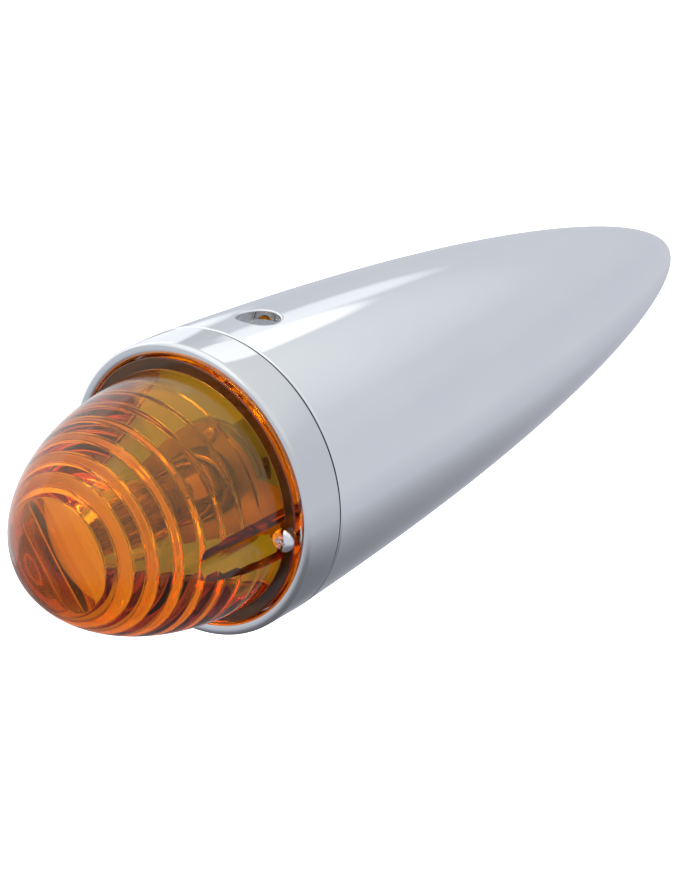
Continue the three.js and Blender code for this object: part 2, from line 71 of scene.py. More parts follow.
MM = 0.001
housing_low, housing_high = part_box("housing")
BODY_RADIUS = (housing_high.x - housing_low.x) / 2 / MM
TAIL_LENGTH = 185.6
INSIDE_LENGTH = 178.0
INSIDE_RINGS_END = 176
SEAM_Y = housing_high.y - TAIL_LENGTH * MM
AXIS_Z = (housing_low.z + housing_high.z) / 2
WALL = 2.0
SEAM_GAP = 0.25
FIT = 0.05
CONE_SLOPE = 0.0538
NOSE_P = 2.548
NOSE_Q = 0.536

STEM_HOLE_S = -SEAM_Y / MM
STEM_HOLE_RADIUS = 5.0
STEM_EDGE_ROUND = 0.35
NUT_SEAT_DROP = 2.9

BEZEL_FRONT = (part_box("bezel")[0].y - SEAM_Y) / MM
BEZEL_LIP_RADIUS = 31.0
LEDGE_FRONT = -7.0
LEDGE_BACK = -5.0
LEDGE_RADIUS = 25.0

FLANGE_FRONT = -11.6
FLANGE_BACK = -8.6
FLANGE_RADIUS = 30.7
DOME_RADIUS = 28.1
DOME_HEIGHT = 46.3
DOME_FOOT = -12.0
DOME_WALL = 2.8
DOME_ROWS = 60
CROWN_HEIGHT = 42.3
CROWN_ROWS = 14
STEP_ROUND = 0.9
STEP_HEIGHTS = [5, 10, 15, 20, 25, 30, 34.5, 38.8]

SCREW_CIRCLE = 28.2
SCREW_TILT = math.radians(-6)
SCREW_SHANK_RADIUS = 1.5
SCREW_HOLE_RADIUS = 1.85
SCREW_HEAD_RADIUS = 2.75
SCREW_HEAD_HEIGHT = 2.1
SCREW_HEAD_SIDE = 0.75
SCREW_END = 9.0
THREAD_PITCH = 0.5
THREAD_DEPTH = 0.22
CROSS_LENGTH = 2.9
CROSS_WIDTH = 0.62
CROSS_DEPTH = 2.6
POCKET_RADIUS = 4.4
BULGE_RADIUS = 6.8
BOSS_RADIUS = 3.5
BOSS_TIP_RADIUS = 2.4
BOSS_FRONT = -2.9
BOSS_BACK = 16.0
BOSS_END_WALL = 4
BOSS_VENT_RADIUS = 0.4
LENS_CUT_FRONT = -60

STRAP_FRONT = -4.4
STRAP_BACK = -3.2
STRAP_HALF_WIDTH = 5.5
STRAP_RING_RADIUS = 14.0
STRAP_BORE_RADIUS = 9.2
RIVET_CIRCLE = 11.7
RIVET_RADIUS = 1.0
RIVET_HEAD_RADIUS = 1.8
RIVET_HEAD_HEIGHT = 0.9
RIVET_HOLE_RADIUS = 1.2

SHELL_BORE = 7.95
SHELL_RADIUS = 8.7
SHELL_FRONT = -6.5
SHELL_BACK = 23.4
COLLAR_FRONT = -2.9
COLLAR_BACK = -1.7
CRIMP_LENGTH = 0.7
SLOT_DEPTH = 2.6
SLOT_PLAY = 0.25
PRESS_TRAVEL = 2.0
TWIST = math.radians(20)

BULB_BASE_RADIUS = 7.6
BULB_PINS = (1.6, 4.6)
BULB_PIN_RADIUS = 1.0
BULB_PIN_TIP = 8.65
GLASS_RADIUS = 13.25
GLASS_CENTRE = -28.75
GLASS_WALL = 0.8
BALL_ARC = math.radians(142.2)
BALL_ROWS = 36
BASE_FRONT = -8.0
BASE_BACK = 7.0
INSULATOR_BACK = 8.2
STEM_TOP = -14.5
CONTACT_OFFSET = 3.5
CONTACT_HOLE_RADIUS = 1.2
CARRIER_FRONT = 9.6
CARRIER_BACK = 12.6
SLIDING_RADIUS = SHELL_BORE - 0.3
WASHER_FRONT = 21.0
WASHER_BACK = 22.5
WASHER_BORE = 4.9
SPRING_RADIUS = 5.8
SPRING_WIRE = 0.45
SPRING_TURNS = 4
SPRING_EASE = 0.06
COIL_RADIUS = 0.7
COIL_WIRE = 0.1
COIL_TURNS = 14
LEAD_WIRE = 0.3


def taper(s):
    """Housing radius at s."""
    nose = 1 - (max(s, 0.0) / TAIL_LENGTH) ** NOSE_P
    return (BODY_RADIUS - CONE_SLOPE * s) * max(nose, 0.0) ** NOSE_Q


def dome_radius(height):
    return DOME_RADIUS * math.sqrt(max(1 - (height / DOME_HEIGHT) ** 2, 0.0))


def lamp(x, s, z):
    """A point given in lamp millimetres, in the row frame in metres."""
    return Vector((x * MM, SEAM_Y + s * MM, AXIS_Z + z * MM))


def round_the_screws(radius=SCREW_CIRCLE, quarter=0.0):
    """The two places (x, z) opposite each other on a circle, level with the screws or square to them."""
    return [
        (radius * math.cos(SCREW_TILT + quarter + turn), radius * math.sin(SCREW_TILT + quarter + turn))
        for turn in (0.0, math.pi)
    ]


# ---------- mesh helpers ----------


def rounded(points, closed=True, steps=5):
    """Rounds the corners of an outline. A point is (r, s) or (r, s, corner radius)."""
    out = []
    count = len(points)
    for i, point in enumerate(points):
        here = Vector(point[:2])
        size = point[2] if len(point) > 2 else 0.0
        if size == 0.0 or (not closed and i in (0, count - 1)):
            out.append(tuple(here))
            continue
        before = Vector(points[i - 1][:2]) - here
        after = Vector(points[(i + 1) % count][:2]) - here
        half = before.angle(after) / 2
        reach = min(size / math.tan(half), before.length * 0.48, after.length * 0.48)
        start = here + before.normalized() * reach
        end = here + after.normalized() * reach
        for k in range(steps + 1):
            t = k / steps
            out.append(tuple(start * (1 - t) ** 2 + here * 2 * t * (1 - t) + end * t * t))
    return out


def add_circle(bm, radius, s, sides, centre=(0.0, 0.0)):
    ring = []
    for i in range(sides):
        a = 2 * math.pi * i / sides
        x = centre[0] + radius * math.cos(a)
        z = centre[1] + radius * math.sin(a)
        ring.append(bm.verts.new(lamp(x, s, z)))
    return ring


def add_lathe(bm, profile, sides, centre=(0.0, 0.0)):
    """Adds a closed surface of revolution about a line along the lamp axis through centre (x, z).
    The profile is closed, or starts and ends on the axis."""
    on_axis = profile[0][0] == 0.0
    rings = []
    for radius, s in profile:
        if radius == 0.0:
            rings.append([bm.verts.new(lamp(centre[0], s, centre[1]))])
            continue
        rings.append(add_circle(bm, radius, s, sides, centre))
    pairs = list(zip(rings, rings[1:]))
    if not on_axis:
        pairs.append((rings[-1], rings[0]))
    for one, two in pairs:
        join_rings(bm, one, two, sides)


def plain_ring(inside, outside, front, back, edge):
    """The outline of a flat ring with rounded edges."""
    corners = [(inside, front), (outside, front), (outside, back), (inside, back)]
    return rounded([(*corner, edge) for corner in corners])


def join_rings(bm, one, two, sides):
    """Joins two rings with faces. One of them may be a single point."""
    for i in range(sides):
        j = (i + 1) % sides
        if len(one) == 1:
            bm.faces.new((one[0], two[i], two[j]))
        elif len(two) == 1:
            bm.faces.new((one[j], one[i], two[0]))
        else:
            bm.faces.new((one[j], one[i], two[i], two[j]))


def add_tube(bm, path, radius, sides):
    """Adds a round bar with closed ends along a list of points in metres."""
    rings = []
    normal = None
    for i, point in enumerate(path):
        along = (path[min(i + 1, len(path) - 1)] - path[max(i - 1, 0)]).normalized()
        if normal is None:
            normal = along.orthogonal().normalized()
        normal = (normal - along * normal.dot(along)).normalized()
        side = along.cross(normal)
        ring = []
        for k in range(sides):
            a = 2 * math.pi * k / sides
            ring.append(bm.verts.new(point + (normal * math.cos(a) + side * math.sin(a)) * radius * MM))
        rings.append(ring)
    for one, two in zip(rings, rings[1:]):
        join_rings(bm, one, two, sides)
    bm.faces.new(rings[0])
    bm.faces.new(list(reversed(rings[-1])))


def add_bar(bm, size, centre, turn):
    """Adds a box given in lamp millimetres, turned about the lamp axis."""
    made = bmesh.ops.create_cube(bm, size=1.0)
    place = Matrix.Translation(lamp(0, 0, 0)) @ Matrix.Rotation(-turn, 4, "Y")
    place = place @ Matrix.Translation(Vector(centre) * MM) @ Matrix.Diagonal(Vector((*size, 1.0 / MM)) * MM)
    bmesh.ops.transform(bm, matrix=place, verts=made["verts"])


def to_object(bm, name):
    bmesh.ops.recalc_face_normals(bm, faces=bm.faces)
    mesh = bpy.data.meshes.new(name)
    bm.to_mesh(mesh)
    bm.free()
    obj = bpy.data.objects.new(name, mesh)
    bpy.context.scene.collection.objects.link(obj)
    return obj


def settle(obj):
    """Applies the modifiers of an object to its mesh."""
    graph = bpy.context.evaluated_depsgraph_get()
    mesh = bpy.data.meshes.new_from_object(obj.evaluated_get(graph))
    obj.modifiers.clear()
    obj.data = mesh
    mesh.name = obj.name


def cut(obj, other):
    """Cuts another object out of obj and uses it up."""
    change = obj.modifiers.new("cut", "BOOLEAN")
    change.operation = "DIFFERENCE"
    change.solver = "MANIFOLD"
    change.object = other
    settle(obj)
    bpy.data.objects.remove(other)


def soften(obj, width):
    """Rounds the sharp edges of an object."""
    bevel = obj.modifiers.new("soften", "BEVEL")
    bevel.width = width * MM
    bevel.segments = 3
    bevel.limit_method = "ANGLE"
    bevel.angle_limit = math.radians(40)
    settle(obj)


def solid(name, builder):
    """An object from a function that fills a bmesh."""
    bm = bmesh.new()
    builder(bm)
    return to_object(bm, name)


def drill(obj, radius, front, back, places, sides=48):
    """Cuts round holes along the lamp axis through an object."""
    profile = [(0.0, front), (radius, front), (radius, back), (0.0, back)]

    def build(bm):
        for place in places:
            add_lathe(bm, profile, sides, place)

    cut(obj, solid("holes", build))


def dress(obj, material, node, sharp=35):
    """Gives a piece its shading and its material, and hides the CAD node that it stands for."""
    for face in obj.data.polygons:
        face.use_smooth = True
    obj.data.set_sharp_from_angle(angle=math.radians(sharp))
    obj.data.materials.clear()
    obj.data.materials.append(material)
    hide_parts(node)


def finish_piece(obj, material, body, node, sharp=35):
    """Dresses a piece and sets it on its body."""
    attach(obj, body)
    dress(obj, material, node, sharp)


# ---------- materials ----------


class Nodes:
    """A short way to write a node tree."""

    def __init__(self, name):
        self.material = bpy.data.materials.new(name)
        self.material.use_nodes = True
        self.tree = self.material.node_tree
        self.shader = self.tree.nodes["Principled BSDF"]
        self.output = self.tree.nodes["Material Output"]
        self.coords = self.tree.nodes.new("ShaderNodeTexCoord")

    def add(self, kind):
        return self.tree.nodes.new(kind)

    def link(self, source, target):
        self.tree.links.new(source, target)

    def noise(self, scale, detail=3.0, stretch=(1.0, 1.0, 1.0)):
        mapping = self.add("ShaderNodeMapping")
        mapping.inputs["Scale"].default_value = stretch
        self.link(self.coords.outputs["Object"], mapping.inputs["Vector"])
        noise = self.add("ShaderNodeTexNoise")
        noise.inputs["Scale"].default_value = scale
        noise.inputs["Detail"].default_value = detail
        noise.inputs["Roughness"].default_value = 0.55
        self.link(mapping.outputs["Vector"], noise.inputs["Vector"])
        return noise.outputs["Fac"]

    def spread(self, value, low, high):
        """Maps the middle of a noise value's range onto low to high."""
        node = self.add("ShaderNodeMapRange")
        node.inputs["From Min"].default_value = 0.3
        node.inputs["From Max"].default_value = 0.7
        node.inputs["To Min"].default_value = low
        node.inputs["To Max"].default_value = high
        self.link(value, node.inputs["Value"])
        return node.outputs["Result"]

    def colours(self, value, *stops):
        """A colour ramp: stops are (position, (r, g, b))."""
        ramp = self.add("ShaderNodeValToRGB")
        points = ramp.color_ramp.elements
        while len(points) < len(stops):
            points.new(0.5)
        for point, (position, colour) in zip(points, stops):
            point.position = position
            point.color = (*colour, 1.0)
        self.link(value, ramp.inputs["Fac"])
        return ramp.outputs["Color"]

    def bump(self, value, height):
        """Surface relief: height in millimetres."""
        node = self.add("ShaderNodeBump")
        node.inputs["Distance"].default_value = height * MM
        node.inputs["Strength"].default_value = 1.0
        self.link(value, node.inputs["Height"])
        self.link(node.outputs["Normal"], self.shader.inputs["Normal"])


def metal(name, dark, light, rough_low, rough_high, grain, relief):
    """A metal whose colour and roughness drift slightly over the surface."""
    m = Nodes(name)
    drift = m.noise(grain)
    m.link(m.colours(drift, (0.3, dark), (0.7, light)), m.shader.inputs["Base Color"])
    m.link(m.spread(m.noise(grain * 2.3), rough_low, rough_high), m.shader.inputs["Roughness"])
    m.bump(m.noise(grain * 9.0, detail=4.0), relief)
    m.shader.inputs["Metallic"].default_value = 1.0
    return m.material


def plastic(name, dark, light, rough_low, rough_high, grain=120.0, relief=0.01):
    """A moulded or laminated material with a fine grain."""
    m = Nodes(name)
    drift = m.noise(grain, detail=4.0)
    m.link(m.colours(drift, (0.3, dark), (0.7, light)), m.shader.inputs["Base Color"])
    m.link(m.spread(m.noise(grain * 1.7), rough_low, rough_high), m.shader.inputs["Roughness"])
    m.bump(m.noise(grain * 6.0, detail=5.0), relief)
    return m.material


def chrome_plate(name, level):
    """Bright plating: almost a mirror, with very slight haze and polishing waviness."""
    m = Nodes(name)
    haze = m.noise(38.0, detail=5.0, stretch=(1.0, 0.45, 1.0))
    low = (0.93 * level, 0.94 * level, 0.955 * level)
    high = (0.97 * level, 0.975 * level, 0.985 * level)
    m.link(m.colours(haze, (0.35, low), (0.65, high)), m.shader.inputs["Base Color"])
    m.link(m.spread(haze, 0.035, 0.065), m.shader.inputs["Roughness"])
    m.bump(m.noise(900.0, detail=2.0), 0.0006)
    m.shader.inputs["Metallic"].default_value = 1.0
    return m.material


def raw_casting():
    """The unplated inside of the housing: pale grey, finely grained.
    A faint glow stands for the light that bounces about inside the closed shell."""
    m = Nodes("raw_casting")
    drift = m.colours(m.noise(140.0, detail=6.0), (0.3, (0.74, 0.75, 0.77)), (0.7, (0.84, 0.85, 0.86)))
    m.link(drift, m.shader.inputs["Base Color"])
    m.link(m.spread(m.noise(300.0), 0.3, 0.45), m.shader.inputs["Roughness"])
    m.bump(m.noise(1500.0, detail=5.0), 0.02)
    m.shader.inputs["Metallic"].default_value = 0.5
    m.shader.inputs["Emission Color"].default_value = (0.56, 0.60, 0.67, 1.0)
    m.shader.inputs["Emission Strength"].default_value = 0.16
    return m.material


def amber_glass():
    """Amber plastic: tinted where light enters and leaves, and deeper with thickness."""
    m = Nodes("amber_plastic")
    haze = m.noise(55.0, detail=4.0)
    tint = m.colours(haze, (0.3, (1.0, 0.66, 0.12)), (0.7, (1.0, 0.70, 0.15)))
    m.link(tint, m.shader.inputs["Base Color"])
    m.link(m.spread(haze, 0.0, 0.03), m.shader.inputs["Roughness"])
    m.bump(m.noise(120.0, detail=2.0), 0.004)
    m.shader.inputs["Transmission Weight"].default_value = 0.99
    m.shader.inputs["IOR"].default_value = 1.5
    depth = m.add("ShaderNodeVolumeAbsorption")
    depth.inputs["Color"].default_value = (0.965, 0.87, 0.2, 1.0)
    depth.inputs["Density"].default_value = 1000.0
    m.link(depth.outputs["Volume"], m.output.inputs["Volume"])
    return m.material


def bulb_glass():
    """Thin clear lamp glass."""
    m = Nodes("lamp_glass")
    m.shader.inputs["Base Color"].default_value = (1.0, 1.0, 1.0, 1.0)
    m.shader.inputs["Transmission Weight"].default_value = 1.0
    m.shader.inputs["IOR"].default_value = 1.5
    m.link(m.spread(m.noise(70.0), 0.0, 0.02), m.shader.inputs["Roughness"])
    m.bump(m.noise(90.0, detail=2.0), 0.01)
    return m.material


CHROME = chrome_plate("chrome_plate", 0.96)
RING_CHROME = chrome_plate("ring_chrome", 0.84)
CASTING = raw_casting()
AMBER = amber_glass()
LAMP_GLASS = bulb_glass()
RUBBER = plastic("black_rubber", (0.012, 0.012, 0.013), (0.03, 0.03, 0.032), 0.55, 0.8)
ZINC = metal("zinc_plate_steel", (0.34, 0.35, 0.37), (0.46, 0.47, 0.49), 0.28, 0.42, 80.0, 0.004)
BRASS = metal("nickel_brass", (0.48, 0.36, 0.18), (0.60, 0.47, 0.26), 0.22, 0.36, 90.0, 0.003)
SPRING = metal("spring_wire", (0.36, 0.37, 0.39), (0.50, 0.51, 0.53), 0.25, 0.4, 150.0, 0.003)
PHENOLIC = plastic("phenolic_board", (0.16, 0.085, 0.045), (0.27, 0.15, 0.085), 0.45, 0.65)
VITRITE = plastic("black_glass_bead", (0.008, 0.008, 0.01), (0.02, 0.02, 0.024), 0.08, 0.2, 60.0, 0.02)
SOLDER = metal("soft_solder", (0.50, 0.51, 0.53), (0.66, 0.67, 0.69), 0.25, 0.5, 260.0, 0.03)
TUNGSTEN = metal("dull_wire", (0.22, 0.22, 0.24), (0.36, 0.36, 0.38), 0.3, 0.45, 400.0, 0.002)


# ---------- housing ----------

# The skin is a grid of rings and sides. A square patch of cells on top is filled round the stem hole.
SKIN_SIDES = 288
TOP_SIDE = SKIN_SIDES // 4
PATCH = 12
FILL_ROWS = 9
HOLE_EDGE_ROWS = 4
HOLE_FOOT_ROUND = 0.25
FIRST_RING = 0.9
FRONT_ROWS = 6
RING_STEP = 2.0
TIP_START = 148
TIP_ROWS = 44
PLATED_DEPTH = 0.45
PLATED_TIP = 3


def housing_stops():
    """Places along the axis where the skin has a ring, even round the stem hole and finer at the tip."""
    cell = 2 * math.pi * taper(STEM_HOLE_S) / SKIN_SIDES
    first = STEM_HOLE_S - PATCH * cell
    stops = [FIRST_RING + (first - FIRST_RING) * i / FRONT_ROWS for i in range(FRONT_ROWS)]
    patch_start = len(stops)
    stops += [first + cell * i for i in range(2 * PATCH + 1)]
    s = stops[-1]
    while s < TIP_START:
        s += RING_STEP
        stops.append(s)
    start = math.sqrt(1 - (s / TAIL_LENGTH) ** NOSE_P)
    for i in range(1, TIP_ROWS):
        share = start * (1 - i / TIP_ROWS)
        stops.append(TAIL_LENGTH * (1 - share**2) ** (1 / NOSE_P))
    return stops, patch_start


def add_skin(bm, radius_at, stops, patch_start, tip):
    """Adds a skin of revolution with a square gap on top, and returns its rings."""
    rings = [add_circle(bm, radius_at(s), s, SKIN_SIDES) for s in stops]
    pole = bm.verts.new(lamp(0, tip, 0))
    across = range(TOP_SIDE - PATCH, TOP_SIDE + PATCH)
    along = range(patch_start, patch_start + 2 * PATCH)
    for j in range(len(rings) - 1):
        for i in range(SKIN_SIDES):
            if i in across and j in along:
                continue
            k = (i + 1) % SKIN_SIDES
            bm.faces.new((rings[j][i], rings[j][k], rings[j + 1][k], rings[j + 1][i]))
    for i in range(SKIN_SIDES):
        bm.faces.new((rings[-1][i], rings[-1][(i + 1) % SKIN_SIDES], pole))
    return rings


def patch_edge():
    """The cells (across, along) round the square gap, in turn."""
    last = 2 * PATCH
    edge = [(last - i, 0) for i in range(last)]
    edge += [(0, j) for j in range(last)]
    edge += [(i, last) for i in range(last)]
    edge += [(last, last - j) for j in range(last)]
    return edge


def hole_circle(radius):
    """Points (x, s) of a circle round the stem hole, one for each cell of patch_edge."""
    count = len(patch_edge())
    points = []
    for n in range(count):
        a = -3 * math.pi / 4 + 2 * math.pi * n / count
        points.append(Vector((radius * math.cos(a), STEM_HOLE_S + radius * math.sin(a))))
    return points


def fill_round_the_hole(bm, rings, radius_at, stops, patch_start, highest):
    """Fills the square gap down to a circle, nowhere above highest, and returns the circle's ring."""
    border = []
    spots = []
    for i, j in patch_edge():
        a = 2 * math.pi * (TOP_SIDE - PATCH + i) / SKIN_SIDES
        s = stops[patch_start + j]
        border.append(rings[patch_start + j][TOP_SIDE - PATCH + i])
        spots.append(Vector((radius_at(s) * math.cos(a), s)))
    circle = hole_circle(STEM_HOLE_RADIUS + STEM_EDGE_ROUND)
    ring = border
    for m in range(1, FILL_ROWS + 1):
        inner = []
        for spot, target in zip(spots, circle):
            p = spot.lerp(target, m / FILL_ROWS)
            z = min(math.sqrt(radius_at(p.y) ** 2 - p.x * p.x), highest)
            inner.append(bm.verts.new(lamp(p.x, p.y, z)))
        join_rings(bm, ring, inner, len(ring))
        ring = inner
    return ring


def add_hole_wall(bm, hole_out, hole_in, seat_z):
    """Joins the hole in the outer skin to the hole in the inner one, over a rounded edge."""
    ring = hole_out
    rim = hole_circle(STEM_HOLE_RADIUS + STEM_EDGE_ROUND)
    for k in range(1, HOLE_EDGE_ROWS + 1):
        a = math.pi / 2 * k / HOLE_EDGE_ROWS
        drop = STEM_EDGE_ROUND * (1 - math.cos(a))
        circle = hole_circle(STEM_HOLE_RADIUS + STEM_EDGE_ROUND * (1 - math.sin(a)))
        lower = []
        for spot, p in zip(rim, circle):
            z = math.sqrt(taper(spot.y) ** 2 - spot.x * spot.x) - drop
            lower.append(bm.verts.new(lamp(p.x, p.y, z)))
        join_rings(bm, ring, lower, len(ring))
        ring = lower
    foot = [bm.verts.new(lamp(p.x, p.y, seat_z + HOLE_FOOT_ROUND)) for p in hole_circle(STEM_HOLE_RADIUS)]
    join_rings(bm, ring, foot, len(ring))
    join_rings(bm, foot, hole_in, len(ring))


def add_front_edge(bm, front_out, front_in):
    """Closes the wall at the seam, with a small rounded edge outside."""
    ring = front_out
    for inset, s in ((0.02, 0.62), (0.12, 0.38), (0.4, SEAM_GAP), (WALL - 0.1, SEAM_GAP)):
        lower = add_circle(bm, BODY_RADIUS - inset, s, SKIN_SIDES)
        join_rings(bm, ring, lower, SKIN_SIDES)
        ring = lower
    join_rings(bm, ring, front_in, SKIN_SIDES)


def build_housing(bm):
    stops, patch_start = housing_stops()
    seat_z = taper(STEM_HOLE_S) - NUT_SEAT_DROP
    inner_stops = [s for s in stops if s < INSIDE_RINGS_END]

    def inner_taper(s):
        return taper(s) - WALL

    outer = add_skin(bm, taper, stops, patch_start, TAIL_LENGTH)
    hole_out = fill_round_the_hole(bm, outer, taper, stops, patch_start, BODY_RADIUS)
    inner = add_skin(bm, inner_taper, inner_stops, patch_start, INSIDE_LENGTH)
    hole_in = fill_round_the_hole(bm, inner, inner_taper, inner_stops, patch_start, seat_z)
    add_hole_wall(bm, hole_out, hole_in, seat_z)
    add_front_edge(bm, outer[0], inner[0])
    for place in round_the_screws():
        add_lathe(bm, boss_profile(), 40, place)


def boss_profile():
    """A screw boss with a reduced spigot at its front and a screw hole that narrows to a vent at its end."""
    bore = SCREW_HOLE_RADIUS
    return rounded([
        (bore, BOSS_FRONT, 0.15),
        (BOSS_TIP_RADIUS, BOSS_FRONT, 0.25),
        (BOSS_TIP_RADIUS, SEAM_GAP + FIT),
        (BOSS_RADIUS, SEAM_GAP + FIT, 0.4),
        (BOSS_RADIUS, BOSS_BACK, 0.8),
        (BOSS_VENT_RADIUS, BOSS_BACK),
        (BOSS_VENT_RADIUS, BOSS_BACK - BOSS_END_WALL),
        (bore, BOSS_BACK - BOSS_END_WALL),
    ])


def paint_inside(obj, inside_material):
    """Gives the faces inside the shell, other than the stem hole's wall, the second material."""
    obj.data.materials.append(inside_material)
    for face in obj.data.polygons:
        centre = face.center
        out = Vector((centre.x, 0.0, centre.z - AXIS_Z))
        s = (centre.y - SEAM_Y) / MM
        deep = out.length / MM < taper(s) - PLATED_DEPTH
        from_hole = math.hypot(centre.x / MM, s - STEM_HOLE_S)
        in_bore = centre.z > AXIS_Z and from_hole < STEM_HOLE_RADIUS + 0.2
        if deep and not in_bore and s < TAIL_LENGTH - PLATED_TIP:
            face.material_index = 1


def make_housing():
    shell = solid("housing_shell", build_housing)
    finish_piece(shell, CHROME, "body", "housing", 45)
    paint_inside(shell, CASTING)


# ---------- front ring and gaskets ----------


def make_bezel():
    profile = rounded([
        (BODY_RADIUS, -SEAM_GAP, 0.35),
        (BEZEL_LIP_RADIUS, -SEAM_GAP, 0.3),
        (BEZEL_LIP_RADIUS, LEDGE_BACK, 0.3),
        (LEDGE_RADIUS, LEDGE_BACK, 0.3),
        (LEDGE_RADIUS, LEDGE_FRONT, 0.3),
        (BEZEL_LIP_RADIUS, LEDGE_FRONT, 0.2),
        (BEZEL_LIP_RADIUS, BEZEL_FRONT, 1.3),
        (BODY_RADIUS, BEZEL_FRONT, 1.6),
    ], steps=8)
    ring = solid("bezel_ring", lambda bm: add_lathe(bm, profile, 256))
    drill(ring, SCREW_HOLE_RADIUS, LEDGE_FRONT - 1, LEDGE_BACK + 1, round_the_screws())
    finish_piece(ring, RING_CHROME, "lens_cover", "bezel")


def make_bezel_gasket():
    half = SEAM_GAP - FIT
    inside = BEZEL_LIP_RADIUS + 0.3
    outside = BODY_RADIUS - 0.25
    profile = rounded([(inside, -half), (outside, -half, 0.15), (outside, half, 0.15), (inside, half)])
    ring = solid("bezel_seal", lambda bm: add_lathe(bm, profile, 256))
    finish_piece(ring, RUBBER, "lens_cover", "bezel_gasket", 60)


def make_lens_gasket():
    front = FLANGE_BACK + FIT
    back = LEDGE_FRONT - FIT
    inside = LEDGE_RADIUS + 0.2
    outside = FLANGE_RADIUS - 0.1
    ring = solid("lens_seal", lambda bm: add_lathe(bm, plain_ring(inside, outside, front, back, 0.3), 128))
    drill(ring, SCREW_HOLE_RADIUS, front - 1, back + 1, round_the_screws())
    finish_piece(ring, RUBBER, "lens_cover", "lens_gasket", 60)


# ---------- lens ----------


def dome_outline():
    """The smooth outside: half ellipse, foot, flange face and rim, back to the axis."""
    points = [(0.0, DOME_FOOT - DOME_HEIGHT)]
    for i in range(1, DOME_ROWS + 1):
        a = math.pi / 2 * i / DOME_ROWS
        points.append((DOME_RADIUS * math.sin(a), DOME_FOOT - DOME_HEIGHT * math.cos(a)))
    points += rounded([
        (DOME_RADIUS, DOME_FOOT),
        (DOME_RADIUS, FLANGE_FRONT, 0.3),
        (FLANGE_RADIUS, FLANGE_FRONT, 0.5),
        (FLANGE_RADIUS, FLANGE_BACK, 0.3),
        (0.0, FLANGE_BACK),
    ], closed=False)[1:]
    return points


def stepped_outline():
    """The inside: a stair of softly rounded rings, closed by one smooth shallow cap at the crown."""
    corners = [(dome_radius(STEP_HEIGHTS[0]) - DOME_WALL + 0.4, FLANGE_BACK + 1)]
    for height, following in zip(STEP_HEIGHTS, STEP_HEIGHTS[1:]):
        radius = dome_radius(height) - DOME_WALL
        corners.append((radius, DOME_FOOT - height, STEP_ROUND))
        corners.append((dome_radius(following) - DOME_WALL + 0.25, DOME_FOOT - height - 0.5, STEP_ROUND))
    rim = dome_radius(STEP_HEIGHTS[-1]) - DOME_WALL
    base = DOME_FOOT - STEP_HEIGHTS[-1]
    rise = CROWN_HEIGHT - STEP_HEIGHTS[-1]
    shares = [1 - i / CROWN_ROWS for i in range(CROWN_ROWS + 1)]
    cap = [(rim * share, base - rise * (1 - share**2)) for share in shares]
    corners.append((*cap[0], STEP_ROUND))
    corners.append(cap[1])
    return [(0.0, FLANGE_BACK + 1)] + rounded(corners, closed=False, steps=6) + cap[2:]


def make_lens():
    lens = solid("lens_dome", lambda bm: add_lathe(bm, dome_outline(), 192))
    cavity = solid("cavity", lambda bm: add_lathe(bm, stepped_outline(), 192))
    screws = round_the_screws()
    drill(cavity, BULGE_RADIUS, LENS_CUT_FRONT, 0, screws, 96)
    cut(lens, cavity)
    drill(lens, POCKET_RADIUS, LENS_CUT_FRONT, FLANGE_FRONT, screws, 64)
    drill(lens, SCREW_HOLE_RADIUS, FLANGE_FRONT - 1, FLANGE_BACK + 2, screws)
    finish_piece(lens, AMBER, "lens_cover", "lens", 30)


# ---------- screws ----------

SCREW_SEAT = FLANGE_FRONT - FIT


def screw_profile():
    """A screw from its point to its domed head. The thread is a stack of rings, not a helix."""
    profile = [(0.0, SCREW_END), (1.1, SCREW_END), (SCREW_SHANK_RADIUS, SCREW_END - 0.5)]
    s = SCREW_END - 0.8
    while s > LEDGE_BACK:
        profile += [(SCREW_SHANK_RADIUS, s), (SCREW_SHANK_RADIUS - THREAD_DEPTH, s - THREAD_PITCH / 2)]
        s -= THREAD_PITCH
    profile += [(SCREW_SHANK_RADIUS, s), (SCREW_SHANK_RADIUS, SCREW_SEAT)]
    profile += [(SCREW_HEAD_RADIUS - 0.1, SCREW_SEAT), (SCREW_HEAD_RADIUS, SCREW_SEAT - 0.15)]
    front = SCREW_SEAT - SCREW_HEAD_SIDE
    rows = 12
    for k in range(rows + 1):
        a = math.pi / 2 * k / rows
        radius = SCREW_HEAD_RADIUS * math.cos(a) ** 0.8 if k < rows else 0.0
        profile.append((radius, front - (SCREW_HEAD_HEIGHT - SCREW_HEAD_SIDE) * math.sin(a)))
    return profile


def cut_cross(screw, place, angle):
    """Cuts a cross recess with a tapered core into the head."""
    bottom = SCREW_SEAT - 4
    core = [(0.0, SCREW_SEAT - 0.6), (0.75, SCREW_SEAT - 1.0), (0.95, bottom), (0.0, bottom)]
    tip = (SCREW_CIRCLE, SCREW_SEAT - SCREW_HEAD_HEIGHT, 0.0)
    for size in ((CROSS_LENGTH, CROSS_DEPTH, CROSS_WIDTH), (CROSS_WIDTH, CROSS_DEPTH, CROSS_LENGTH)):
        cut(screw, solid("cross", lambda bm: add_bar(bm, size, tip, angle)))
    cut(screw, solid("core", lambda bm: add_lathe(bm, core, 24, place)))


def make_screws():
    for i, place in enumerate(round_the_screws()):
        screw = solid(f"dome_screw_{i + 1}", lambda bm: add_lathe(bm, screw_profile(), 64, place))
        cut_cross(screw, place, SCREW_TILT + i * math.pi)
        finish_piece(screw, CHROME, f"screw_{i + 1}", f"lens_screw_{i + 1}", 40)


# ---------- socket ----------


